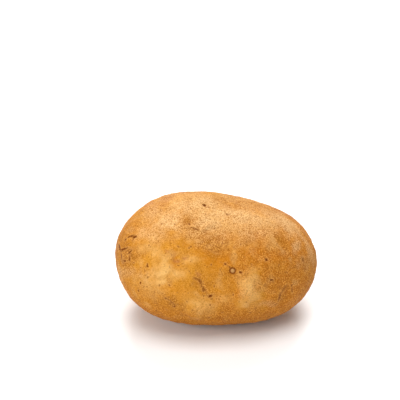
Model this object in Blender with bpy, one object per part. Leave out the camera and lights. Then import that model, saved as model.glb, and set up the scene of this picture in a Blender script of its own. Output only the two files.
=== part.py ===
"""A whole raw potato: one oval tuber that lies on a small flat spot.

The tuber grew in one piece, so it is one closed solid in one node. Its body is an
egg-like superellipsoid. Broad swells and hollows give it the uneven form of a real
tuber. +X runs along its length and +Z is up. The origin is on the surface that the
potato lies on, under the middle of its box.
"""

import math
from collections import namedtuple

import bmesh
import bpy
from mathutils import Vector

MM = 0.001

# Driving dimensions: the potato's own box, in metres.
LENGTH = 96.0 * MM
WIDTH = 71.0 * MM
HEIGHT = 58.5 * MM

# The body is a superellipsoid: at 2.0 it is an ellipsoid, and more is blunter.
BLUNTNESS = 2.1
# The depth of flesh that the flat spot underneath takes off a round belly.
REST_DEPTH = 1.0 * MM
# Faces along each side of the cube that is rounded into the body.
FACES_PER_SIDE = 24
# Points nearer than this are one point.
MERGE_DISTANCE = 0.01 * MM

# A broad form of the body. Its place is a heading in degrees from +X towards +Y, and
# a rise in degrees above the horizon. The skin moves out by height, in millimetres,
# which is negative in a hollow, and it fades over spread, in degrees.
Form = namedtuple("Form", "heading rise height spread")

FORMS = {
    "left_crown": Form(heading=165, rise=50, height=4.2, spread=26),
    "right_slope": Form(heading=20, rise=50, height=-2.0, spread=24),
    "right_heel": Form(heading=-30, rise=-25, height=1.8, spread=20),
    "left_tip": Form(heading=185, rise=-10, height=-2.2, spread=14),
    "left_belly": Form(heading=-135, rise=0, height=3.6, spread=24),
    "crown_saddle": Form(heading=-80, rise=72, height=-0.8, spread=14),
    "front_trough": Form(heading=-95, rise=8, height=-0.9, spread=12),
    "front_hump": Form(heading=-72, rise=0, height=1.3, spread=14),
    "back_hollow": Form(heading=75, rise=12, height=-1.3, spread=15),
    "back_swell": Form(heading=122, rise=-8, height=1.2, spread=18),
}

SKIN_COLOUR = (0.70, 0.36, 0.10, 1.0)
SKIN_ROUGHNESS = 0.55


def clear_scene():
    """Remove every object that the file starts with."""
    for item in list(bpy.data.objects):
        bpy.data.objects.remove(item, do_unlink=True)


def direction(heading, rise):
    """Return the unit vector at a heading and a rise, both in degrees."""
    turn = math.radians(heading)
    lift = math.radians(rise)
    level = math.cos(lift)
    return Vector((level * math.cos(turn), level * math.sin(turn), math.sin(lift)))


def body_radius(way):
    """Return the plain body's radius along the unit vector way."""
    half_sizes = (LENGTH / 2, WIDTH / 2, HEIGHT / 2)
    total = sum(abs(part / half) ** BLUNTNESS for part, half in zip(way, half_sizes))
    return total ** (-1.0 / BLUNTNESS)


def raised_by(way, form):
    """Return how far a form moves the skin out along the unit vector way, in metres."""
    apart = math.degrees(way.angle(direction(form.heading, form.rise)))
    return form.height * MM * math.exp(-0.5 * (apart / form.spread) ** 2)


def shape_body(mesh):
    """Turn the cube-shaped grid of points into the uneven body."""
    for vert in mesh.verts:
        way = vert.co.normalized()
        radius = body_radius(way) + sum(raised_by(way, form) for form in FORMS.values())
        vert.co = way * radius


def cut_rest_spot(mesh):
    """Cut the flat spot under the belly and close it with one flat face."""
    level = min(vert.co.z for vert in mesh.verts) + REST_DEPTH
    bmesh.ops.bisect_plane(
        mesh,
        geom=mesh.verts[:] + mesh.edges[:] + mesh.faces[:],
        dist=MERGE_DISTANCE,
        plane_co=(0.0, 0.0, level),
        plane_no=(0.0, 0.0, -1.0),
        clear_outer=True,
    )
    rim = [edge for edge in mesh.edges if edge.is_boundary]
    for edge in rim:
        for vert in edge.verts:
            vert.co.z = level
    bmesh.ops.holes_fill(mesh, edges=rim, sides=0)


def fit_to_box(mesh):
    """Scale the body to its driving sizes and stand it on the origin."""
    lows = [min(vert.co[axis] for vert in mesh.verts) for axis in range(3)]
    highs = [max(vert.co[axis] for vert in mesh.verts) for axis in range(3)]
    foot = Vector(((lows[0] + highs[0]) / 2, (lows[1] + highs[1]) / 2, lows[2]))
    sizes = [high - low for low, high in zip(lows, highs)]
    factors = [wanted / size for wanted, size in zip((LENGTH, WIDTH, HEIGHT), sizes)]
    bmesh.ops.translate(mesh, verts=mesh.verts, vec=-foot)
    bmesh.ops.scale(mesh, verts=mesh.verts, vec=factors)


def skin_material():
    """Return the plain golden-brown skin."""
    material = bpy.data.materials.new("potato_skin")
    material.use_nodes = True
    shader = material.node_tree.nodes["Principled BSDF"]
    shader.inputs["Base Color"].default_value = SKIN_COLOUR
    shader.inputs["Roughness"].default_value = SKIN_ROUGHNESS
    shader.inputs["Metallic"].default_value = 0.0
    return material


def make_potato(collection):
    """Build the potato as one closed solid and add it to the collection."""
    mesh = bmesh.new()
    bmesh.ops.create_cube(mesh, size=1.0)
    bmesh.ops.subdivide_edges(mesh, edges=mesh.edges[:], cuts=FACES_PER_SIDE - 1, use_grid_fill=True)
    shape_body(mesh)
    cut_rest_spot(mesh)
    bmesh.ops.remove_doubles(mesh, verts=mesh.verts, dist=MERGE_DISTANCE)
    fit_to_box(mesh)
    bmesh.ops.recalc_face_normals(mesh, faces=mesh.faces)
    data = bpy.data.meshes.new("potato")
    mesh.to_mesh(data)
    mesh.free()
    data.shade_smooth()
    data.materials.append(skin_material())
    collection.objects.link(bpy.data.objects.new("potato", data))


def main():
    """Build the potato in a collection of its own."""
    clear_scene()
    collection = bpy.data.collections.new("potato")
    bpy.context.scene.collection.children.link(collection)
    make_potato(collection)


main()
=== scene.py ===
"""The looks of one whole raw potato, lying on a pale studio floor.

The potato is one piece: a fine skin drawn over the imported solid. Its swells, eyes, pores
and scars are real relief in the mesh, and the same lists paint the tones that the skin
material mixes. Lengths in the classes are in millimetres unless a name says otherwise,
and the scene itself is in metres. +X is the potato's right end, -Y is its front.
"""

import logging
import math
from dataclasses import dataclass
from enum import Enum

import bmesh
import bpy
import numpy as np
from mathutils import Matrix, Vector, noise
from mathutils.bvhtree import BVHTree


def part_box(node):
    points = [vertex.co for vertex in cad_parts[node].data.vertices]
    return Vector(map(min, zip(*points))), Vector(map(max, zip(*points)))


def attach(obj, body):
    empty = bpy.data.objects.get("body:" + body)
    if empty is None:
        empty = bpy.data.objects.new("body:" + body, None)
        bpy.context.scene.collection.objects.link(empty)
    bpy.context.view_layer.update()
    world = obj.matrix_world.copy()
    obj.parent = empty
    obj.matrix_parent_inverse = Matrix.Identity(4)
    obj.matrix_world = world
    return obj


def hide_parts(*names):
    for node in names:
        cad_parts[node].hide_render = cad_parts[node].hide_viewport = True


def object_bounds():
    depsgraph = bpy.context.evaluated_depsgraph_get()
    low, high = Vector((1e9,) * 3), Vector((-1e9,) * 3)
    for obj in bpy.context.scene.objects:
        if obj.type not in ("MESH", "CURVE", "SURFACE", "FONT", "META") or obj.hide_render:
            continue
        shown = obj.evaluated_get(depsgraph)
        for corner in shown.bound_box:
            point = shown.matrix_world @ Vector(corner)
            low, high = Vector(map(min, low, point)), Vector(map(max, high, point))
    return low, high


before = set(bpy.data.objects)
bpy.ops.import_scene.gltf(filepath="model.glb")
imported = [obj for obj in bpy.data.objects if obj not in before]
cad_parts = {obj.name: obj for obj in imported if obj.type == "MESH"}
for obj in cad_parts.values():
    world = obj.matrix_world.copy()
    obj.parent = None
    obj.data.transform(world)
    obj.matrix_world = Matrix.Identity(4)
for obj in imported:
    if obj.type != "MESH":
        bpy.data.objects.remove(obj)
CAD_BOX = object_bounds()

MM = 0.001
# How far, in its own radii, a point counts as lying from a mark that it has nothing to do with.
FAR = 9.0

log = logging.getLogger("potato")


def linear_colour(hex_colour: str) -> tuple[float, float, float, float]:
    """Turn an sRGB hex colour into the linear colour that a socket takes.

    Args:
        hex_colour: a colour such as "#D9983B".

    Returns:
        Red, green, blue and an alpha of 1, linear.
    """
    channels = [int(hex_colour[at:at + 2], 16) / 255 for at in (1, 3, 5)]
    linear = [c / 12.92 if c <= 0.04045 else ((c + 0.055) / 1.055) ** 2.4 for c in channels]
    return (*linear, 1.0)


def per_metre(size_mm: float) -> float:
    """Return the texture scale that draws a pattern's features at size_mm across."""
    return 1.0 / (size_mm * MM)


def add(
    tree: bpy.types.NodeTree,
    kind: str,
    settings: dict[str, object] | None = None,
    inputs: dict[str | int, object] | None = None,
) -> bpy.types.Node:
    """Add a node to a material with its settings, values and links.

    Args:
        tree: the material's node tree.
        kind: the node's type, such as "ShaderNodeMix".
        settings: the node's own properties.
        inputs: a value, or another node's output, for each named or numbered socket.

    Returns:
        The new node.
    """
    node = tree.nodes.new(kind)
    for name, value in (settings or {}).items():
        setattr(node, name, value)
    for key, value in (inputs or {}).items():
        if isinstance(value, bpy.types.NodeSocket):
            tree.links.new(value, node.inputs[key])
        else:
            node.inputs[key].default_value = value
    return node


class Tone(Enum):
    """A tone of skin beside the golden ground, and the name of the layer that holds it."""

    DUST = "dust"
    HONEY = "honey"
    AMBER = "amber"
    RUSSET = "russet"
    UMBER = "umber"
    BLUSH = "blush"
    SCAB = "scab"


class Bearing(Enum):
    """What a tone that drifts over the whole skin follows."""

    UPWARD = "upward"
    ENDWARD = "endward"
    BACKWARD = "backward"
    RIGHTWARD = "rightward"
    NOWHERE = "nowhere"


@dataclass(frozen=True)
class Drift:
    """A tone that comes and goes over the whole skin.

    Attributes:
        tone: the tone that drifts.
        share: how strong it is where it is full, from 0 to 1.
        bearing: what it follows.
        start, full: the bearing's values where it starts and where it is full.
        waver: how much ripples push the bearing's values about.
        ripple: the width of a ripple in millimetres.
        seed: picks the ripples.
    """

    tone: Tone
    share: float
    bearing: Bearing
    start: float
    full: float
    waver: float
    ripple: float
    seed: int


@dataclass(frozen=True)
class Place:
    """A spot on the skin as it is seen from the potato's middle.

    heading is in degrees from +X towards +Y, and rise in degrees above the horizon.
    """

    heading: float
    rise: float

    def way(self) -> Vector:
        """Return the unit vector from the middle to the spot."""
        turn = math.radians(self.heading)
        lift = math.radians(self.rise)
        level = math.cos(lift)
        return Vector((level * math.cos(turn), level * math.sin(turn), math.sin(lift)))


@dataclass(frozen=True)
class Patch:
    """An oval area of skin.

    length and width are its full sizes in millimetres. At a turn of 0 the length lies
    level, and a positive turn lifts its right end, seen from outside, in degrees.
    """

    place: Place
    length: float
    width: float
    turn: float


@dataclass(frozen=True)
class Swell(Patch):
    """A rounded rise of the skin by height, in millimetres, or a hollow if negative."""

    height: float


@dataclass(frozen=True)
class Fold(Patch):
    """A crease along a patch: the skin stands up on one side of it and sinks on the other.

    height is in millimetres, and bow is how far the crease's ends droop, as a share of
    the patch's width.
    """

    height: float
    bow: float = 0.0


@dataclass(frozen=True)
class Stain(Patch):
    """A patch of another tone: how strong it is, and how ragged its edge, from 0 to 1."""

    tone: Tone
    strength: float
    ragged: float = 0.5


@dataclass(frozen=True)
class Eye(Patch):
    """An eye: an oval dimple under a brow. depth and brow are heights in millimetres."""

    depth: float
    brow: float


@dataclass(frozen=True)
class Speck(Patch):
    """A lenticel or a nick: a small dark sunken spot. dark is its strength from 0 to 1."""

    dark: float
    depth: float = 0.1


@dataclass(frozen=True)
class Bud:
    """A round bud with a dark ring, and its radius in millimetres."""

    place: Place
    radius: float


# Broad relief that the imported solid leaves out, by the name of its place.
SWELLS: dict[str, Swell] = {
    "low_fold_hump": Swell(Place(-102, -9.5), 14, 11, -20, height=0.9),
    "low_left_hollow": Swell(Place(-126.5, -14), 17, 10, -17, height=-0.5),
    "left_cheek": Swell(Place(-130.5, 18), 13, 12, 10, height=0.7),
    "streak_groove": Swell(Place(-124.5, 24), 10, 3.5, 96, height=-0.6),
    "mid_cheek": Swell(Place(-112.5, 25), 7, 13, 87, height=0.4),
    "front_trough": Swell(Place(-87, 29.5), 21, 9, -52, height=-1.0),
    "bud_dip": Swell(Place(-81, 16.5), 6, 11, 80, height=-0.5),
    "front_hump": Swell(Place(-66, 7.5), 17, 9, 76, height=0.9),
    "right_dent": Swell(Place(-26.5, 26), 12, 7, -91, height=-0.7),
    "low_right_dent": Swell(Place(-40, -5.5), 10, 6.5, 77, height=-1.0),
    "left_dent": Swell(Place(-161, 15.5), 11, 7, 27, height=-0.5),
    "shoulder": Swell(Place(-3, 33), 20, 15, -115, height=0.5),
    "net_ridge": Swell(Place(-107, 58), 11, 4.5, 28, height=0.8),
    "crest": Swell(Place(-33, 67.5), 21, 9, -52, height=0.4),
    "below_crest": Swell(Place(-58.5, 48.5), 24, 8, -18, height=-0.3),
    "back_hump": Swell(Place(60, 20), 22, 16, 10, height=0.8),
    "back_hollow": Swell(Place(95, 5), 18, 12, -20, height=-0.8),
    "under_hump": Swell(Place(20, -45), 20, 14, 0, height=0.6),
}

FOLDS: dict[str, Fold] = {
    "smudge_crease": Fold(Place(-126.5, 51.5), 8, 2.6, -8, height=0.3),
    "low_fold": Fold(Place(-110.5, -18.5), 14, 5, -37, height=0.9, bow=0.2),
    "crown_crease": Fold(Place(178, 52), 8, 2.0, -10, height=0.15),
    "back_crease": Fold(Place(110, 30), 12, 4, 15, height=0.4, bow=0.3),
}

EYES: dict[str, Eye] = {
    "crown_eye": Eye(Place(174, 79), 7, 4.5, -105, depth=1.1, brow=0.35),
    "smudge_eye": Eye(Place(-134, 55.5), 6.5, 5, 0, depth=0.6, brow=0.15),
    "blush_eye": Eye(Place(-121.5, 23), 6, 4, 5, depth=0.4, brow=0.1),
    "back_left_eye": Eye(Place(140, 22), 9, 5, 5, depth=1.2, brow=0.4),
    "back_right_eye": Eye(Place(52, 40), 8, 5, -10, depth=1.0, brow=0.35),
    "back_low_eye": Eye(Place(88, -8), 8, 4.5, 10, depth=0.9, brow=0.3),
    "end_eye": Eye(Place(5, 5), 7, 4.5, 0, depth=0.9, brow=0.3),
    "heel_eye": Eye(Place(-172, -25), 7, 4.5, 0, depth=0.8, brow=0.25),
    "under_eye": Eye(Place(-20, -60), 8, 5, 20, depth=0.8, brow=0.2),
}

BUDS: dict[str, Bud] = {
    "ring_bud": Bud(Place(-77, 20), 1.35),
    "back_left_bud": Bud(Place(140, 21), 1.2),
    "back_right_bud": Bud(Place(52, 39), 1.0),
    "end_bud": Bud(Place(5, 4), 1.1),
}

STAINS: dict[str, Stain] = {
    # A dusty net of thin cork over the top.
    "pale_net": Stain(Place(-109.5, 63), 11.5, 8, 13, Tone.DUST, 0.95, 0.5),
    "left_net": Stain(Place(-153, 46), 15, 9, 19, Tone.DUST, 0.8, 0.8),
    "crown_lens": Stain(Place(144.5, 79.5), 11, 9, -118, Tone.DUST, 0.8, 0.5),
    "crown_flat": Stain(Place(-176.5, 67.5), 15, 8, 4, Tone.DUST, 0.6, 0.8),
    "crest_net": Stain(Place(-21, 62), 30, 11, -70, Tone.DUST, 0.8, 0.8),
    "shoulder_net": Stain(Place(-0.5, 31), 15, 12, -121, Tone.DUST, 0.95, 0.6),
    "left_rim_net": Stain(Place(-160, 2), 5, 34, 116, Tone.DUST, 0.5, 0.6),
    "right_rim_net": Stain(Place(-16, 6.5), 6, 22, 67, Tone.DUST, 0.45, 0.8),
    "low_right_net": Stain(Place(-51, -9.5), 10, 4, -25, Tone.DUST, 0.35, 0.8),
    "high_net": Stain(Place(-106, 61), 10, 7, 0, Tone.DUST, 0.7, 0.7),
    "crown_wide": Stain(Place(-149, 68), 16, 16, -14, Tone.DUST, 0.5, 0.9),
    "crest_low_net": Stain(Place(-36, 71), 14, 6.5, -61, Tone.DUST, 0.7, 0.7),
    "crest_right_net": Stain(Place(-24, 57), 16, 7.5, -71, Tone.DUST, 0.6, 0.7),
    "low_left_net": Stain(Place(-161, -4), 14, 6, 110, Tone.DUST, 1.0, 0.7),
    "left_edge_net": Stain(Place(-173, 23), 8, 5, 40, Tone.DUST, 0.6, 0.6),
    "right_edge_net": Stain(Place(-9, 12), 18, 6, 70, Tone.DUST, 0.7, 0.7),
    "crown_left_net": Stain(Place(178, 40), 18, 8, 10, Tone.DUST, 0.6, 0.7),
    "right_pale": Stain(Place(-18, 19), 10, 4.5, 11, Tone.DUST, 0.7, 0.6),
    # Clean pale skin on the bumps, partly painted highlight where the light falls on them.
    "crown_lump": Stain(Place(150, 76), 3.5, 3.0, -20, Tone.HONEY, 1.0, 0.3),
    # Painted highlight on the left cheek.
    "cheek_highlight": Stain(Place(-125, 13), 12, 6, 17, Tone.HONEY, 0.4, 0.6),
    "cheek_left": Stain(Place(-133, 10), 11, 6.5, 21, Tone.HONEY, 0.4, 0.7),
    "left_pale": Stain(Place(-152, 21), 7, 6, 0, Tone.HONEY, 0.4, 0.6),
    "left_high": Stain(Place(-143, 25), 15, 6, -10, Tone.HONEY, 0.5, 0.7),
    "low_right": Stain(Place(-63, -8), 9, 9, -10, Tone.HONEY, 0.3, 0.7),
    "low_middle": Stain(Place(-85, -2), 9.5, 7.5, 2, Tone.HONEY, 0.3, 0.7),
    "low_middle_left": Stain(Place(-110, -2), 12.5, 8, -30, Tone.HONEY, 0.1, 0.7),
    "by_front_hump": Stain(Place(-72, 13), 11, 4.5, -68, Tone.HONEY, 0.35, 0.5),
    "hump_right": Stain(Place(-59, 10), 9, 3.5, -65, Tone.HONEY, 0.4, 0.5),
    "left_cheek": Stain(Place(-129.5, 17), 10.5, 10, 9, Tone.HONEY, 0.6, 0.6),
    "mid_cheek": Stain(Place(-117.5, 16.5), 7.5, 5, 3, Tone.HONEY, 0.35, 0.6),
    "high_cheek": Stain(Place(-113.5, 27.5), 4.5, 9, 92, Tone.HONEY, 0.4, 0.6),
    # Partly painted highlight on the front hump.
    "front_hump": Stain(Place(-66, 6.5), 15, 8, 76, Tone.HONEY, 0.75, 0.4),
    "low_hump": Stain(Place(-101, -9.5), 13, 12, 0, Tone.HONEY, 0.5, 0.5),
    "low_left": Stain(Place(-133, 3), 14, 12, 0, Tone.HONEY, 0.5, 0.6),
    # Smooth deep orange in the hollows: the skin's own clear amber, and in the trough also painted
    # shade, where less light falls.
    "warm_middle": Stain(Place(-50, 32), 34, 20, -14, Tone.AMBER, 0.5, 0.5),
    # Partly painted shade in the trough.
    "trough_lip": Stain(Place(-83, 51), 14, 7, -25, Tone.AMBER, 0.5, 0.7),
    "trough_left": Stain(Place(-95, 42), 20, 11, -12, Tone.AMBER, 0.6, 0.7),
    "right_middle": Stain(Place(-45, 28), 26, 11, -20, Tone.AMBER, 0.6, 0.6),
    # Partly painted shade in the trough.
    "trough": Stain(Place(-90, 30.5), 21, 12, -52, Tone.AMBER, 0.6, 0.5),
    "deep_trough": Stain(Place(-80, 28.5), 12, 7, -63, Tone.AMBER, 0.8, 0.4),
    "streak": Stain(Place(-125.5, 25), 9.7, 2.6, 97, Tone.AMBER, 0.95, 0.3),
    "low_right_pool": Stain(Place(-40, -5.5), 8, 4, 83, Tone.RUSSET, 0.8, 0.4),
    "right_strip": Stain(Place(-19.5, 23.5), 8, 4.5, -84, Tone.AMBER, 0.5, 0.5),
    "left_gold": Stain(Place(-154, 23.5), 12, 10, 94, Tone.AMBER, 0.15, 0.6),
    "under_left": Stain(Place(-122.5, -17.5), 24, 9, -2, Tone.AMBER, 0.3, 0.5),
    # Warm brown: partly the skin's own, partly painted shade on the rims, the back and the underside.
    "below_net": Stain(Place(-108, 49), 40, 9, -2, Tone.UMBER, 0.35, 0.7),
    "beside_smudge": Stain(Place(-38, 28), 12, 8, -20, Tone.UMBER, 0.45, 0.7),
    # Painted shade: the back rims are darkened in dull grey-brown, where less light reaches them.
    "back_left_rim_shade": Stain(Place(161, 47), 14, 7, 20, Tone.BLUSH, 0.95, 0.6),
    "back_right_rim_shade": Stain(Place(20, 26), 22, 8, 30, Tone.BLUSH, 0.95, 0.6),
    "back_rim_shade": Stain(Place(75, 53), 18, 6, 0, Tone.BLUSH, 0.5, 0.6),
    "back_left_high_shade": Stain(Place(130, 55), 16, 6, 0, Tone.BLUSH, 0.55, 0.6),
    "middle_shade": Stain(Place(-66, 43), 20, 8, 0, Tone.UMBER, 0.25, 0.7),
    "right_low_shade": Stain(Place(-44, 4), 18, 10, -13, Tone.UMBER, 0.3, 0.8),
    "low_brown": Stain(Place(-124, -8), 16, 8, -30, Tone.UMBER, 0.2, 0.8),
    "shoulder_edge": Stain(Place(-24, 38), 22, 12, -60, Tone.UMBER, 0.3, 0.8),
    "round_bud": Stain(Place(-77, 19), 14, 10, 55, Tone.UMBER, 0.3, 0.7),
    "above_bud": Stain(Place(-72, 31), 9, 6, 0, Tone.UMBER, 0.3, 0.7),
    "right_of_bud": Stain(Place(-50, 23), 16, 8, 45, Tone.UMBER, 0.3, 0.8),
    "low_fold_shade": Stain(Place(-112, -19), 15, 3, -36, Tone.UMBER, 0.7, 0.5),
    "trough_foot": Stain(Place(-86, 13), 14, 7, 60, Tone.UMBER, 0.35, 0.6),
    "right_spot": Stain(Place(-50, 8), 18, 9, 40, Tone.UMBER, 0.45, 0.8),
    "streak_side": Stain(Place(-129, 27), 8, 6, 30, Tone.UMBER, 0.35, 0.7),
    "scuff_side": Stain(Place(-101, 12), 12, 6, -70, Tone.UMBER, 0.35, 0.7),
    "low_cheek": Stain(Place(-139, 6), 14, 8, -20, Tone.UMBER, 0.25, 0.8),
    # Painted shade on the back-left rim.
    "left_rise_shade": Stain(Place(162, 34), 26, 7, 50, Tone.BLUSH, 0.85, 0.5),
    # Painted shade on the left end.
    "left_end_shade": Stain(Place(-178, 14), 20, 40, 0, Tone.UMBER, 0.7, 0.5),
    "left_patch_ring": Stain(Place(-158, 13), 13, 10, 26, Tone.UMBER, 0.8, 0.8),
    # Painted shade at the foot of the left rim.
    "left_foot_shade": Stain(Place(-170, 0), 6, 14, 0, Tone.UMBER, 0.5, 0.6),
    # Painted shade on the lower rims, left and right.
    "low_left_rim_shade": Stain(Place(-146, -9), 19, 10, -40, Tone.UMBER, 0.35, 0.6),
    "right_low_rim_shade": Stain(Place(-18, -9), 17, 11, 44, Tone.UMBER, 0.6, 0.6),
    "under_pool": Stain(Place(-44, -8), 13, 5, -34, Tone.UMBER, 0.5, 0.8),
    "pit_ring": Stain(Place(-22, 9), 8, 5, -24, Tone.UMBER, 0.6, 0.7),
    "top_band": Stain(Place(36, 60.5), 32, 13, -110, Tone.UMBER, 0.5, 0.6),
    "smudge": Stain(Place(-138.5, 56.5), 7, 8, 3, Tone.UMBER, 1.0, 0.7),
    "smudge_dot": Stain(Place(-134, 54.5), 3, 3, 0, Tone.UMBER, 0.9, 0.6),
    "under_smudge": Stain(Place(-125.5, 51.5), 9, 3, -8, Tone.UMBER, 0.6, 0.8),
    "brown_smudge": Stain(Place(-26.5, 26), 12, 5, -91, Tone.UMBER, 0.9, 0.8),
    "scuff": Stain(Place(-100, 7.5), 14, 5, -50, Tone.UMBER, 0.5, 0.8),
    "red_mottle": Stain(Place(-93, 41), 16, 9, -20, Tone.UMBER, 0.9, 0.8),
    "low_left_brown": Stain(Place(-129, -4.5), 20, 10, -12, Tone.UMBER, 0.25, 0.9),
    "beside_bud": Stain(Place(-83, 17.5), 2.5, 9, 80, Tone.UMBER, 0.4, 0.6),
    "pool_heart": Stain(Place(-39, -5.5), 7, 4, 83, Tone.UMBER, 0.4, 0.5),
    "right_high": Stain(Place(-44, 24), 24, 9, -14, Tone.RUSSET, 0.8, 0.7),
    "right_russet": Stain(Place(-22, 13), 10, 9, 0, Tone.RUSSET, 0.7, 0.7),
    "right_low": Stain(Place(-44.5, 6), 19, 10, -13, Tone.RUSSET, 1.0, 0.6),
    "right_rim": Stain(Place(-26, -5), 8, 25, 62, Tone.RUSSET, 0.8, 0.6),
    # Painted shade along the front of the underside.
    "underneath_front_shade": Stain(Place(-80.5, -24.5), 40, 7, 0, Tone.RUSSET, 0.5, 0.6),
    # Healed scars and bruises.
    "blush": Stain(Place(-122.5, 24), 3.2, 2.0, 5, Tone.BLUSH, 1.0, 0.2),
    "high_blush": Stain(Place(-133, 28), 2.6, 1.6, -19, Tone.BLUSH, 0.7, 0.3),
    "mid_blush": Stain(Place(-117.5, 27), 1.5, 3.4, 84, Tone.BLUSH, 0.6, 0.3),
    "low_blush": Stain(Place(-105, 17.5), 3, 2, -21, Tone.BLUSH, 0.7, 0.3),
    "left_patch": Stain(Place(-157, 13), 11, 10, 26, Tone.SCAB, 0.85, 0.5),
    "left_patch_core": Stain(Place(-161, 15), 6, 4, 40, Tone.SCAB, 1.0, 0.8),
    "smudge_heart": Stain(Place(-134, 54.5), 4, 2.5, -10, Tone.SCAB, 0.7, 0.8),
    "low_scab": Stain(Place(-119, -5.5), 13, 5, -44, Tone.SCAB, 0.5, 0.9),
    "pool_edge": Stain(Place(-44.5, -4), 2.5, 9, -10, Tone.SCAB, 0.6, 0.6),
    "left_rim_scab": Stain(Place(169.5, 31), 8, 3, 0, Tone.SCAB, 0.5, 0.8),
}

SPECKS: dict[str, Speck] = {
    "crown_dot": Speck(Place(172, 79), 2.0, 1.4, -105, 1.0, 0.3),
    "crown_dash": Speck(Place(-170, 81), 1.8, 0.8, -20, 0.8),
    "crown_dash_end": Speck(Place(-161, 82.5), 1.5, 0.8, -10, 0.7),
    "smudge_dot": Speck(Place(-133, 54.5), 1.2, 1.1, 0, 1.0),
    "smudge_line": Speck(Place(-124.5, 52.5), 3.2, 0.9, -12, 0.6),
    "smudge_line_end": Speck(Place(-119.5, 52.5), 2.6, 0.9, -15, 0.7),
    "left_scab_low": Speck(Place(-169, 18), 1.5, 1.1, 40, 0.9),
    "left_scab_rise": Speck(Place(-167, 22), 4.2, 1.2, 56, 1.0),
    "left_scab_block": Speck(Place(-163, 24), 3.2, 1.5, 44, 1.0),
    "left_line_rise": Speck(Place(-171, 12), 5.6, 1.2, 2, 1.0),
    "left_line_mid": Speck(Place(-165, 14), 6.2, 1.1, 42, 1.0),
    "left_line_end": Speck(Place(-158, 16), 3.4, 1.2, 64, 0.9),
    "left_line_under": Speck(Place(-164, 10), 4.4, 1.1, -30, 0.9),
    "left_line_foot": Speck(Place(-158, 10), 3.2, 1.1, 20, 0.8),
    "left_line_last": Speck(Place(-155, 13), 2.6, 1.0, -50, 0.8),
    "scuff_high": Speck(Place(-106, 14), 2.2, 1.0, -10, 0.6),
    "scuff_mid": Speck(Place(-103, 12.5), 3.0, 1.3, -40, 0.7),
    "scuff_line": Speck(Place(-100.5, 7.5), 4.0, 1.0, -55, 0.55),
    "scuff_knot": Speck(Place(-99.5, 5.5), 2.0, 1.4, -10, 0.7),
    "scuff_low": Speck(Place(-95, 0.5), 2.2, 1.5, 25, 1.0),
    "by_bud_left": Speck(Place(-82.5, 25.5), 1.1, 1.1, 0, 0.9),
    "by_bud_right": Speck(Place(-71, 18), 1.3, 1.6, 60, 1.0, 0.2),
    "bud_top": Speck(Place(-79, 23), 0.9, 0.7, 0, 0.7),
    "blush_dash": Speck(Place(-120.5, 21.5), 1.4, 0.6, 0, 0.7),
    "right_high": Speck(Place(-48, 22), 1.5, 1.3, 0, 1.0, 0.2),
    "right_low": Speck(Place(-49.5, 8), 1.8, 1.0, -10, 1.0),
    "left_low": Speck(Place(-141, 4), 1.0, 1.4, 0, 1.0),
    "left_crescent": Speck(Place(-140, 15), 1.6, 1.0, -20, 0.9),
    "left_crescent_low": Speck(Place(-140.5, 12), 0.9, 1.6, 20, 0.5),
    "crown_right": Speck(Place(-48.5, 75), 1.1, 1.1, 0, 0.9),
    "crest_dot": Speck(Place(-42, 73), 1.6, 1.0, 0, 0.4),
    "pit": Speck(Place(-21.5, 10.5), 1.6, 2.2, -20, 0.7),
    "pool_left_high": Speck(Place(-41, 0), 1.0, 3.4, -40, 0.6),
    "pool_left_low": Speck(Place(-45, -5.5), 1.2, 4.6, -14, 0.75),
    "pool_right_high": Speck(Place(-36, 0), 1.2, 0.8, 0, 0.9),
    "pool_right_low": Speck(Place(-36, -3.5), 1.0, 3.0, 5, 0.7),
    "pool_under": Speck(Place(-47.5, -11.5), 0.9, 0.9, 0, 0.8),
    "low_left": Speck(Place(-142, -1.5), 1.0, 1.3, 0, 0.9),
    "low_left_far": Speck(Place(-133, -15), 1.0, 1.0, 0, 0.9),
    "mid_left": Speck(Place(-129, 6), 1.0, 1.3, 0, 0.6),
    "mid_left_near": Speck(Place(-123, 7.5), 1.3, 0.8, -30, 0.6),
    "low_mid": Speck(Place(-95, -7), 0.8, 1.4, 0, 0.7),
    "low_mid_far": Speck(Place(-96, -20.5), 1.3, 0.9, 20, 0.7),
    "high_left": Speck(Place(-127, 34), 1.2, 0.8, -30, 0.6),
    "high_left_near": Speck(Place(-117.5, 35.5), 1.1, 0.8, 0, 0.7),
    "high_left_far": Speck(Place(-148, 26), 0.9, 0.9, 0, 0.6),
    "crest_left": Speck(Place(-19.5, 64), 0.9, 0.9, 0, 0.6),
    "crest_low": Speck(Place(-33, 52), 1.1, 0.8, 0, 0.6),
    "shoulder_dot": Speck(Place(2.5, 41.5), 0.9, 0.9, 0, 0.6),
    "scab_low": Speck(Place(-119.5, -8.5), 1.0, 1.4, -20, 0.8),
    "scab_line": Speck(Place(-121, -4.5), 4.0, 0.8, -45, 0.6),
    "scab_far": Speck(Place(-124.5, -2.5), 1.2, 0.8, -20, 0.7),
}


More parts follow.
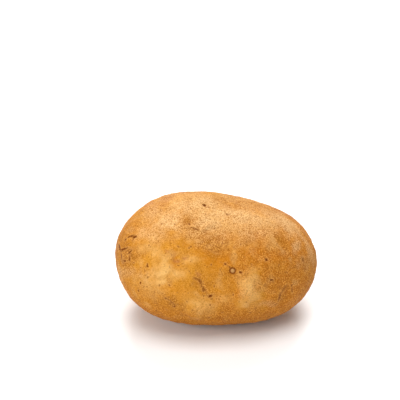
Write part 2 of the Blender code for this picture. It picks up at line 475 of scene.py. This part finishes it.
DRIFTS: dict[str, Drift] = {
    # Painted highlight and real dusty net: the skin turns paler towards the top, where the light falls.
    "top_dust_and_highlight": Drift(Tone.DUST, 0.55, Bearing.UPWARD, 0.68, 1.0, 0.06, 9.0, 11),
    "russet_right": Drift(Tone.RUSSET, 0.7, Bearing.RIGHTWARD, 0.0, 0.8, 0.25, 11.0, 12),
    # Painted shade: russet towards the underside, where less light falls.
    "belly_shade_russet": Drift(Tone.RUSSET, 0.85, Bearing.UPWARD, 0.0, -0.65, 0.1, 10.0, 16),
    "brown_clouds": Drift(Tone.UMBER, 0.3, Bearing.NOWHERE, 0.6, 2.0, 1.0, 7.0, 13),
    # Painted shade: brown towards the underside, where less light falls.
    "belly_shade_brown": Drift(Tone.UMBER, 0.68, Bearing.UPWARD, 0.0, -0.65, 0.1, 10.0, 16),
    # Painted shade: browner towards both ends, where the rims catch less light.
    "end_shade_brown": Drift(Tone.UMBER, 0.5, Bearing.ENDWARD, 0.55, 1.0, 0.06, 8.0, 17),
    # Painted shade: duller grey-brown towards the back, where less light reaches.
    "back_shade": Drift(Tone.BLUSH, 0.5, Bearing.BACKWARD, 0.15, 0.65, 0.06, 8.0, 18),
    "amber_clouds": Drift(Tone.AMBER, 0.2, Bearing.NOWHERE, 0.6, 1.8, 1.0, 12.0, 14),
    "honey_clouds": Drift(Tone.HONEY, 0.4, Bearing.NOWHERE, 0.7, 2.0, 1.0, 8.0, 15),
}


def step_between(start: float, end: float, values: np.ndarray) -> np.ndarray:
    """Return a smooth step: 0 where values are at start or before it, 1 from end on."""
    share = np.clip((values - start) / (end - start), 0.0, 1.0)
    return share * share * (3.0 - 2.0 * share)


def ridge(values: np.ndarray, crest: float, spread: float) -> np.ndarray:
    """Return a smooth ridge: 1 where values are at crest, and next to 0 past twice the spread."""
    return np.exp(-(((values - crest) / spread) ** 2))


class Skin:
    """The points of the fine skin, with the relief and the tones that are put on it."""

    HALF_LENGTH = CAD_BOX[1][0] / MM
    # How far apart two seeds' ripples lie, how calm the finer ones are, and how much finer.
    RIPPLE_SHIFT = (17.3, 5.1, 11.7)
    RIPPLE_CALM = 0.8
    RIPPLE_STEP = 2.0
    # A patch reaches no further round the potato than this far below its middle, in mm.
    DEEPEST_SIDE = 15.0
    # The relief fades out over this height above the floor, in mm, so that the rest is flat.
    FLOOR_FADE = 4.0
    # A stain's edge and heart, as shares of its size, and how far a ragged edge strays.
    STAIN_EDGE = 1.55
    STAIN_HEART = 0.1
    STAIN_RAG = 0.22
    # The height, size and seed of the ripples in the skin, and of the cork's own, in mm.
    UNEVENNESS = ((0.15, 14.0, 3), (0.08, 5.0, 4), (0.016, 1.7, 5))
    CORK_HEIGHT = 0.02
    CORK_SIZE = 1.2
    LEAST_GRIT = 0.28
    # The smallest and largest lenticel: length in mm, width by length, and darkness.
    LENTICEL_LENGTH = (0.4, 1.2)
    LENTICEL_WIDTH = (0.5, 0.9)
    LENTICEL_DARK = (0.25, 0.85)
    LENTICEL_DEPTH = 0.06

    def __init__(self, mesh: bpy.types.Mesh, middle: Vector) -> None:
        """Read a mesh's points and outward normals.

        Args:
            mesh: the smooth skin, in metres.
            middle: the potato's middle, in metres, which every place is seen from.
        """
        count = len(mesh.vertices)
        self.mesh = mesh
        self.middle = middle
        self.points = np.empty(count * 3)
        mesh.vertices.foreach_get("co", self.points)
        self.points = self.points.reshape(-1, 3) / MM
        self.normals = np.empty(count * 3)
        mesh.vertex_normals.foreach_get("vector", self.normals)
        self.normals = self.normals.reshape(-1, 3)
        self.tree = BVHTree.FromPolygons(
            [vert.co for vert in mesh.vertices],
            [face.vertices for face in mesh.polygons],
        )
        self.relief = np.zeros(count)
        self.layers = {tone.value: np.zeros(count) for tone in Tone}
        self.layers["speck_dark"] = np.zeros(count)
        self.marks = {name: np.full((count, 3), FAR) for name in ("speck", "bud")}
        self.rags = self.ripple(3.0, 1)

    def ripple(self, size: float, seed: int, octaves: int = 2) -> np.ndarray:
        """Return smooth noise at every point, with a mean of 0 and a spread of 1.

        Args:
            size: the width of a ripple in millimetres.
            seed: picks one of many unlike noises.
            octaves: how many finer ripples are laid on the broad one.

        Returns:
            The noise's value at each point.
        """
        shift = Vector(self.RIPPLE_SHIFT) * seed
        values = np.array([
            noise.fractal(Vector(point) / size + shift, self.RIPPLE_CALM, self.RIPPLE_STEP, octaves)
            for point in self.points
        ])
        return (values - values.mean()) / values.std()

    def anchor(self, place: Place) -> tuple[np.ndarray, np.ndarray]:
        """Return the point of skin at a place, in millimetres, and its outward normal."""
        hit, normal, _face, _reach = self.tree.ray_cast(self.middle, place.way())
        return np.array(hit) / MM, np.array(normal)

    def across(self, patch: Patch) -> tuple[np.ndarray, np.ndarray]:
        """Measure every point from the middle of a patch.

        Args:
            patch: the area to measure in.

        Returns:
            How far along and how far across the patch each point is, where 1 is the
            patch's edge. The points on the potato's other side are FAR along.
        """
        middle, outward = self.anchor(patch.place)
        level = np.cross((0.0, 0.0, 1.0), outward)
        level /= np.linalg.norm(level)
        upward = np.cross(outward, level)
        turn = math.radians(patch.turn)
        from_middle = self.points - middle
        east = from_middle @ level
        north = from_middle @ upward
        along = (east * math.cos(turn) + north * math.sin(turn)) / (patch.length / 2)
        sideways = (north * math.cos(turn) - east * math.sin(turn)) / (patch.width / 2)
        behind = from_middle @ outward < -self.DEEPEST_SIDE
        return np.where(behind, FAR, along), sideways

    def raise_swell(self, swell: Swell) -> None:
        """Raise or sink the skin over a swell."""
        ring = np.hypot(*self.across(swell))
        self.relief += swell.height * np.exp(-2.0 * ring**2)

    def crease(self, fold: Fold) -> None:
        """Lift the skin on one side of a fold and sink it on the other.

        Args:
            fold: where the crease runs and how high it stands.
        """
        along, sideways = self.across(fold)
        sideways = sideways + fold.bow * along**2
        fade = np.exp(-1.5 * along**2)
        self.relief += fold.height * fade * sideways * np.exp(0.5 - 0.5 * sideways**2)

    def press_eye(self, eye: Eye) -> None:
        """Sink an eye's dimple and raise its brow.

        Args:
            eye: the eye's place and sizes.
        """
        along, sideways = self.across(eye)
        self.relief -= eye.depth * np.exp(-2.0 * (along**2 + sideways**2))
        over_dimple = sideways + 0.6 * along**2
        self.relief += eye.brow * ridge(along, 0.0, 1.0) * ridge(over_dimple, 0.9, 0.3)

    def paint(self, stain: Stain) -> None:
        """Lay a stain over its tone's layer, with a ragged edge.

        Args:
            stain: the patch, its tone and how strong it is.
        """
        ring = np.hypot(*self.across(stain)) + self.STAIN_RAG * stain.ragged * self.rags
        self.blend(stain.tone, stain.strength * step_between(self.STAIN_EDGE, self.STAIN_HEART, ring))

    def blend(self, tone: Tone, share: np.ndarray) -> None:
        """Add a share of a tone to what its layer lacks at every point."""
        layer = self.layers[tone.value]
        layer += (1.0 - layer) * share

    def spot(self, speck: Speck) -> None:
        """Sink a speck and raise its corky rim.

        Args:
            speck: the speck's place, sizes and darkness.
        """
        along, sideways = self.across(speck)
        ring = np.hypot(along, sideways)
        self.relief -= speck.depth * ridge(ring, 0.0, 1.0)
        self.relief += 0.4 * speck.depth * ridge(ring, 1.7, 0.5)
        nearer = self.mark("speck", along, sideways)
        self.layers["speck_dark"][nearer] = speck.dark

    def set_bud(self, bud: Bud) -> None:
        """Sink a bud's ring and raise the bud itself.

        Args:
            bud: the bud's place and radius.
        """
        along, sideways = self.across(Patch(bud.place, 2 * bud.radius, 2 * bud.radius, 0.0))
        ring = np.hypot(along, sideways)
        self.relief -= 0.3 * bud.radius * ridge(ring, 0.9, 0.35)
        self.relief += 0.1 * bud.radius * ridge(ring, 0.0, 0.5)
        self.mark("bud", along, sideways)

    def mark(self, name: str, along: np.ndarray, sideways: np.ndarray) -> np.ndarray:
        """Note where every point lies from its nearest mark of a kind.

        Args:
            name: the kind of mark.
            along: how far along one new mark each point is.
            sideways: how far across it each point is.

        Returns:
            Which points are nearest to the new mark.
        """
        marks = self.marks[name]
        nearer = np.hypot(along, sideways) < np.linalg.norm(marks, axis=1)
        marks[nearer] = np.stack([along, sideways, np.zeros(len(along))], axis=1)[nearer]
        return nearer

    def scatter(self, count: int, spacing: float, seed: int) -> None:
        """Spread faint lenticels over the whole skin.

        Args:
            count: how many to set at most.
            spacing: the least distance between two of them, in millimetres.
            seed: starts the random numbers.
        """
        chance = np.random.default_rng(seed)
        chosen: list[np.ndarray] = []
        for at in chance.permutation(len(self.points)):
            point = self.points[at]
            if any(np.linalg.norm(point - other) < spacing for other in chosen):
                continue
            chosen.append(point)
            if len(chosen) == count:
                break
        for point in chosen:
            ray = point - np.array(self.middle) / MM
            heading = math.degrees(math.atan2(ray[1], ray[0]))
            rise = math.degrees(math.asin(ray[2] / np.linalg.norm(ray)))
            length = chance.uniform(*self.LENTICEL_LENGTH)
            width = length * chance.uniform(*self.LENTICEL_WIDTH)
            turn = chance.uniform(-90.0, 90.0)
            dark = chance.uniform(*self.LENTICEL_DARK)
            self.spot(Speck(Place(heading, rise), length, width, turn, dark, self.LENTICEL_DEPTH))

    def lay_drifts_and_unevenness(self) -> None:
        """Let the drifting tones come and go, painted shade and a painted highlight among them, and
        give the skin its uneven feel.
        """
        bearings = {
            Bearing.UPWARD: self.normals[:, 2],
            Bearing.ENDWARD: np.abs(self.normals[:, 0]),
            Bearing.BACKWARD: self.normals[:, 1],
            Bearing.RIGHTWARD: self.points[:, 0] / self.HALF_LENGTH,
            Bearing.NOWHERE: np.zeros(len(self.points)),
        }
        for drift in DRIFTS.values():
            pushed = bearings[drift.bearing] + drift.waver * self.ripple(drift.ripple, drift.seed)
            self.blend(drift.tone, drift.share * step_between(drift.start, drift.full, pushed))
        for height, size, seed in self.UNEVENNESS:
            self.relief += height * self.ripple(size, seed)
        corky = sum(self.layers[tone.value] for tone in (Tone.DUST, Tone.RUSSET, Tone.UMBER, Tone.SCAB))
        clear = self.layers[Tone.AMBER.value] + self.layers[Tone.HONEY.value]
        self.layers["grit"] = np.clip(0.42 + 0.65 * corky - 0.2 * clear, self.LEAST_GRIT, 1.0)
        self.relief += self.CORK_HEIGHT * corky * self.ripple(self.CORK_SIZE, 6)

    def settle(self) -> None:
        """Move the skin by its relief and store the layers as attributes."""
        clear_of_floor = step_between(0.0, self.FLOOR_FADE, self.points[:, 2])
        moved = self.points + self.normals * (self.relief * clear_of_floor)[:, None]
        self.mesh.vertices.foreach_set("co", (moved * MM).ravel())
        for name, values in self.layers.items():
            layer = self.mesh.attributes.new(name, "FLOAT", "POINT")
            layer.data.foreach_set("value", values)
        for name, values in self.marks.items():
            layer = self.mesh.attributes.new(name, "FLOAT_VECTOR", "POINT")
            layer.data.foreach_set("vector", np.clip(values, -FAR, FAR).ravel())
        self.mesh.update()


@dataclass(frozen=True)
class Coat:
    """A coat of colour over the ones below it, as strong as a pattern is at each point.

    Attributes:
        colour: a hex colour, or the name of a mixed one among the patterns.
        pattern: the name of the pattern that spreads the coat.
        start, end: the pattern's values where the coat starts and where it is full.
        cover: how much of the colours below the full coat hides, from 0 to 1.
        held_to: the name of a second pattern that thins the coat, if there is one.
    """

    colour: str
    pattern: str
    start: float
    end: float
    cover: float
    held_to: str = ""


@dataclass(frozen=True)
class PotatoSkin:
    """Raw potato skin: a thin periderm of cork cells over yellow flesh, washed and dry.

    The cork takes the blue out of the light, so the skin is a deep warm gold. Where the
    cork is thick it dries to a pale dusty net, and where it is thin it is a clear amber.
    Dry cork is matt and hardly shines at all, so shine is low and the net is the roughest.
    Real cork cells are about 0.03 mm across, too fine to show, so the grain is drawn at
    grain_mm instead. The flakes and the pores have their real sizes.
    """

    golden: str = "#BF8126"
    tan: str = "#B9761C"
    # This pale, cool colour also stands in for part of the highlight on the top.
    dust: str = "#D0A46E"
    honey: str = "#E2B772"
    amber: str = "#B56A04"
    russet: str = "#AC5A04"
    umber: str = "#8E4F0C"
    blush: str = "#A4683E"
    scab: str = "#7E4410"
    cork: str = "#D9983C"
    fleck: str = "#E0B67C"
    freckle: str = "#864E14"
    speck: str = "#662E06"
    speck_rim: str = "#CF9A58"
    bud: str = "#B0824C"
    clouds_mm: float = 20.0
    mottle_mm: float = 4.0
    grain_mm: float = 0.42
    flake_mm: float = 0.85
    pore_mm: float = 1.7
    clear_roughness: float = 0.55
    dusty_roughness: float = 0.75
    ior: float = 1.45
    shine: float = 0.03

    def coats(self) -> list[Coat]:
        """List the coats of the skin, from the ground up.

        Returns:
            The broad tones, then the flakes, pores, specks and buds over them.
        """
        tones = ("amber", "russet", "honey", "dust", "umber", "blush", "scab")
        return [
            Coat(self.tan, "clouds", 0.35, 0.65, 1.0),
            *[Coat(getattr(self, name), name, 0.0, 1.0, 1.0, "broken") for name in tones],
            Coat(self.cork, "mottle", 0.55, 0.75, 0.3),
            Coat(self.umber, "mottle", 0.45, 0.28, 0.3),
            # Fine pale flakes of cork with darker seams between them, strongest in the net.
            Coat("flake", "flakes", 0.52, 0.68, 0.55, "grit"),
            Coat(self.freckle, "flakes", 0.48, 0.32, 0.55, "grit"),
            Coat("flake", "grain", 0.50, 0.66, 0.85, "grit"),
            Coat(self.freckle, "grain", 0.50, 0.34, 0.85, "grit"),
            # Pores: a fine dark dot here and there.
            Coat(self.freckle, "pores", 0.24, 0.12, 0.75, "pore_fields"),
            # Specks: a dark ragged spot in a pale corky rim.
            Coat(self.speck_rim, "ragged", 3.0, 2.2, 0.25, "speck_dark"),
            Coat(self.speck, "ragged", 2.1, 1.3, 1.0, "speck_dark"),
            Coat(self.speck, "bud", 1.4, 1.0, 0.9),
            Coat(self.bud, "bud", 0.8, 0.55, 1.0),
        ]

    def patterns(self, tree: bpy.types.NodeTree) -> dict[str, bpy.types.NodeSocket]:
        """Add the patterns that the coats, the roughness and the relief are made from.

        Args:
            tree: the material's node tree.

        Returns:
            Each pattern's output by its name, and the mixed colour of the flakes.
        """
        where = add(tree, "ShaderNodeTexCoord").outputs["Object"]
        found: dict[str, bpy.types.NodeSocket] = {}
        for name, size_mm, detail in (
            ("clouds", self.clouds_mm, 2.0),
            ("mottle", self.mottle_mm, 3.0),
            ("grain", self.grain_mm, 2.0),
            ("flakes", self.flake_mm, 2.0),
        ):
            inputs = {"Vector": where, "Scale": per_metre(size_mm), "Detail": detail, "Roughness": 0.6}
            found[name] = add(tree, "ShaderNodeTexNoise", {}, inputs).outputs["Fac"]
        inputs = {"Vector": where, "Scale": per_metre(self.pore_mm)}
        found["pores"] = add(tree, "ShaderNodeTexVoronoi", {}, inputs).outputs["Distance"]
        for name in (*[tone.value for tone in Tone], "grit", "speck_dark"):
            carried = add(tree, "ShaderNodeAttribute", {"attribute_name": name})
            found[name] = carried.outputs["Fac"]
        for name in ("speck", "bud"):
            carried = add(tree, "ShaderNodeAttribute", {"attribute_name": name})
            inputs = {0: carried.outputs["Vector"]}
            reach = add(tree, "ShaderNodeVectorMath", {"operation": "LENGTH"}, inputs)
            found[name] = reach.outputs["Value"]
        for name, source, start, end, low, high in (
            ("broken", "mottle", 0.3, 0.6, 0.65, 1.0),
            ("pore_fields", "mottle", 0.4, 0.6, 0.2, 1.0),
            ("dustiness", "dust", 0.0, 0.7, 0.2, 1.0),
            ("unstained", "umber", 0.0, 1.0, 1.0, 0.2),
            ("roughness", "dust", 0.0, 1.0, self.clear_roughness, self.dusty_roughness),
        ):
            inputs = {"Value": found[source], "From Min": start, "From Max": end}
            inputs |= {"To Min": low, "To Max": high}
            found[name] = add(tree, "ShaderNodeMapRange", {}, inputs).outputs[0]
        for name, kind, values in (
            ("ragged", "MULTIPLY_ADD", (found["grain"], 1.6, found["speck"])),
            ("pale", "MULTIPLY", (found["dustiness"], found["unstained"])),
        ):
            inputs = dict(enumerate(values))
            found[name] = add(tree, "ShaderNodeMath", {"operation": kind}, inputs).outputs[0]
        inputs = {0: found["pale"], 6: linear_colour(self.cork), 7: linear_colour(self.fleck)}
        found["flake"] = add(tree, "ShaderNodeMix", {"data_type": "RGBA"}, inputs).outputs[2]
        return found

    def build(self) -> bpy.types.Material:
        """Make the node material.

        Returns:
            The skin's material.
        """
        material = bpy.data.materials.new("raw_potato_skin")
        material.use_nodes = True
        tree = material.node_tree
        tree.nodes.clear()
        found = self.patterns(tree)
        colour: object = linear_colour(self.golden)
        for coat in self.coats():
            inputs = {"Value": found[coat.pattern], "From Min": coat.start, "From Max": coat.end}
            inputs |= {"To Min": 0.0, "To Max": coat.cover}
            share = add(tree, "ShaderNodeMapRange", {}, inputs).outputs[0]
            if coat.held_to:
                inputs = {0: share, 1: found[coat.held_to]}
                settings = {"operation": "MULTIPLY", "use_clamp": True}
                share = add(tree, "ShaderNodeMath", settings, inputs).outputs[0]
            over = found[coat.colour] if coat.colour in found else linear_colour(coat.colour)
            inputs = {0: share, 6: colour, 7: over}
            colour = add(tree, "ShaderNodeMix", {"data_type": "RGBA"}, inputs).outputs[2]
        inputs = {"Strength": 0.3, "Distance": 0.3 * MM, "Height": found["grain"]}
        fine = add(tree, "ShaderNodeBump", {}, inputs).outputs["Normal"]
        inputs = {"Strength": 0.35, "Distance": 0.6 * MM, "Height": found["flakes"], "Normal": fine}
        bump = add(tree, "ShaderNodeBump", {}, inputs).outputs["Normal"]
        inputs = {"Base Color": colour, "Roughness": found["roughness"], "Normal": bump}
        inputs |= {"IOR": self.ior, "Specular IOR Level": self.shine}
        shader = add(tree, "ShaderNodeBsdfPrincipled", {}, inputs)
        add(tree, "ShaderNodeOutputMaterial", {}, {"Surface": shader.outputs[0]})
        return material


@dataclass
class Potato:
    """The whole tuber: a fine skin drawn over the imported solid.

    Attributes:
        cage_side: faces along each side of the cube that is rounded into the cage.
        calm_rounds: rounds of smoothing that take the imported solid's facets out.
        skin_levels: subdivisions from the cage to the fine skin.
        lenticels: how many faint lenticels are spread over the whole skin.
        lenticel_spacing: the least distance between two of them.
    """

    cage_side: int = 32
    calm_rounds: int = 4
    skin_levels: int = 2
    lenticels: int = 560
    lenticel_spacing: float = 3.0

    def cage(self, cad: bpy.types.Object, middle: Vector) -> bpy.types.Mesh:
        """Draw an even cage of four-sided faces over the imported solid.

        Args:
            cad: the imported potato, which isn't changed.
            middle: the point that the cage is drawn out from.

        Returns:
            The cage, with a bake map of six squares, one for each side of the cube.
        """
        solid = bmesh.new()
        solid.from_mesh(cad.data)
        bmesh.ops.remove_doubles(solid, verts=solid.verts, dist=0.001 * MM)
        target = BVHTree.FromBMesh(solid)
        cage = bmesh.new()
        bmesh.ops.create_cube(cage, size=2.0)
        bmesh.ops.subdivide_edges(
            cage, edges=cage.edges[:], cuts=self.cage_side - 1, use_grid_fill=True
        )
        self.lay_out_map(cage)
        for vert in cage.verts:
            even = Vector(math.tan(part * math.pi / 4) for part in vert.co)
            vert.co = target.ray_cast(middle, even.normalized())[0]
        for _round in range(self.calm_rounds):
            bmesh.ops.smooth_vert(
                cage, verts=cage.verts, factor=0.5, use_axis_x=True, use_axis_y=True, use_axis_z=True
            )
        bmesh.ops.recalc_face_normals(cage, faces=cage.faces)
        mesh = bpy.data.meshes.new("potato_skin")
        cage.to_mesh(mesh)
        cage.free()
        solid.free()
        return mesh

    @staticmethod
    def lay_out_map(cage: bmesh.types.BMesh) -> None:
        """Give each side of the cube its own square of the bake map.

        Args:
            cage: the divided cube, before it is rounded.
        """
        layer = cage.loops.layers.uv.new("OFBake")
        margin = 0.02
        for face in cage.faces:
            normal = face.normal
            axis = max(range(3), key=lambda at: abs(normal[at]))
            first, second = [at for at in range(3) if at != axis]
            column, row = axis, int(normal[axis] > 0)
            for loop in face.loops:
                spot = loop.vert.co
                across = margin + (1 - 2 * margin) * (spot[first] + 1) / 2
                up = margin + (1 - 2 * margin) * (spot[second] + 1) / 2
                loop[layer].uv = ((column + across) / 3, (row + up) / 2)

    def fine_skin(self, cage: bpy.types.Mesh) -> bpy.types.Object:
        """Subdivide the cage into the fine skin.

        Args:
            cage: the mesh with the cage's faces.

        Returns:
            The skin's object, with no modifiers left on it.
        """
        piece = bpy.data.objects.new("potato_skin", cage)
        bpy.context.scene.collection.objects.link(piece)
        divide = piece.modifiers.new("fine_skin", "SUBSURF")
        divide.levels = self.skin_levels
        divide.render_levels = self.skin_levels
        depsgraph = bpy.context.evaluated_depsgraph_get()
        piece.data = bpy.data.meshes.new_from_object(piece.evaluated_get(depsgraph))
        piece.modifiers.clear()
        return piece

    def build(self) -> bpy.types.Object:
        """Model the potato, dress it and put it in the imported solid's place.

        Returns:
            The finished piece.
        """
        low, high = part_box("potato")
        middle = (low + high) / 2
        piece = self.fine_skin(self.cage(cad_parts["potato"], middle))
        skin = Skin(piece.data, middle)
        for swell in SWELLS.values():
            skin.raise_swell(swell)
        for fold in FOLDS.values():
            skin.crease(fold)
        for eye in EYES.values():
            skin.press_eye(eye)
        for stain in STAINS.values():
            skin.paint(stain)
        for speck in SPECKS.values():
            skin.spot(speck)
        for bud in BUDS.values():
            skin.set_bud(bud)
        skin.scatter(self.lenticels, self.lenticel_spacing, seed=5)
        skin.lay_drifts_and_unevenness()
        skin.settle()
        piece.data.shade_smooth()
        piece.data.materials.append(PotatoSkin().build())
        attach(piece, "root")
        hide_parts("potato")
        return piece


@dataclass(frozen=True)
class SoftBox:
    """A square soft light: where it is and its width, in metres, and its watts."""

    name: str
    place: tuple[float, float, float]
    width: float
    watts: float
    colour: str = "#FFFFFF"

    def hang(self, target: Vector) -> bpy.types.Object:
        """Hang the light and turn it to the target.

        Args:
            target: the point that the light faces, in metres.

        Returns:
            The light's object.
        """
        data = bpy.data.lights.new(self.name, "AREA")
        data.shape = "SQUARE"
        data.size = self.width
        data.energy = self.watts
        data.color = linear_colour(self.colour)[:3]
        lamp = bpy.data.objects.new(self.name, data)
        lamp.location = self.place
        lamp.rotation_euler = (target - lamp.location).to_track_quat("-Z", "Y").to_euler()
        bpy.context.scene.collection.objects.link(lamp)
        return lamp


@dataclass
class Studio:
    """A pale floor, soft light from above and a long lens looking down at the potato.

    Attributes:
        floor_width: the floor's width in metres.
        elevation: how far above level the camera looks down from, in degrees.
        focal: the lens's focal length in millimetres, on a 36 mm sensor.
        distance: from the camera to the potato's middle, in metres.
        right_of_middle, below_middle: where the potato's middle shows, as shares of the
            view's width from the middle of the view.
        sky: the strength of the light from all round.
        lights: the soft lights.
    """

    floor_width: float = 12.0
    elevation: float = 30.0
    focal: float = 150.0
    distance: float = 0.79
    right_of_middle: float = 0.0405
    below_middle: float = 0.1403
    sky: float = 0.34
    lights: tuple[SoftBox, ...] = (
        SoftBox("back_softbox", (0.1, 2.0, 2.25), 1.8, 88.0),
        SoftBox("top_softbox", (0.0, -0.75, 2.9), 2.2, 64.0),
        SoftBox("left_softbox", (-2.15, -1.65, 1.25), 1.5, 46.0),
    )

    def lay_floor(self) -> bpy.types.Object:
        """Lay the plain floor that the potato lies on.

        Returns:
            The floor.
        """
        grid = bmesh.new()
        bmesh.ops.create_grid(grid, x_segments=1, y_segments=1, size=self.floor_width / 2)
        mesh = bpy.data.meshes.new("studio_floor")
        grid.to_mesh(mesh)
        grid.free()
        material = bpy.data.materials.new("matt_white_board")
        material.use_nodes = True
        shader = material.node_tree.nodes["Principled BSDF"]
        shader.inputs["Base Color"].default_value = linear_colour("#F4F4F4")
        shader.inputs["Roughness"].default_value = 0.9
        shader.inputs["Specular IOR Level"].default_value = 0.0
        mesh.materials.append(material)
        floor = bpy.data.objects.new("studio_floor", mesh)
        bpy.context.scene.collection.objects.link(floor)
        return floor

    def light(self, target: Vector) -> None:
        """Light the floor and the potato with a pale sky and the soft lights.

        Args:
            target: the point that the lights face, in metres.
        """
        world = bpy.data.worlds.new("white_studio")
        world.use_nodes = True
        sky = world.node_tree.nodes["Background"]
        sky.inputs["Color"].default_value = linear_colour("#FFFFFF")
        sky.inputs["Strength"].default_value = self.sky
        bpy.context.scene.world = world
        for lamp in self.lights:
            lamp.hang(target)

    def place_camera(self, target: Vector) -> bpy.types.Object:
        """Point the camera so that the target shows at its place in the view.

        Args:
            target: the potato's middle, in metres.

        Returns:
            The camera, which the scene looks through.
        """
        data = bpy.data.cameras.new("camera")
        data.lens = self.focal
        data.sensor_width = 36.0
        data.clip_start = 0.01
        data.clip_end = 50.0
        camera = bpy.data.objects.new("camera", data)
        turn = Matrix.Rotation(math.radians(90 - self.elevation), 3, "X")
        view_width = data.sensor_width / data.lens
        sight = Vector((self.right_of_middle * view_width, -self.below_middle * view_width, -1.0))
        camera.location = target - turn @ sight * self.distance
        camera.rotation_euler = turn.to_euler()
        bpy.context.scene.collection.objects.link(camera)
        bpy.context.scene.camera = camera
        return camera

    def build(self, target: Vector) -> None:
        """Set up the studio round the target.

        Args:
            target: the potato's middle, in metres.
        """
        self.lay_floor()
        self.light(target)
        self.place_camera(target)
        bpy.context.scene.view_settings.view_transform = "Standard"


def main() -> None:
    """Build the potato and the studio, and report each piece."""
    logging.basicConfig(level=logging.INFO, format="%(name)s: %(message)s")
    low, high = CAD_BOX
    Studio().build((low + high) / 2)
    piece = Potato().build()
    log.info("%s has %d faces", piece.name, len(piece.data.polygons))


if __name__ == "__main__":
    main()
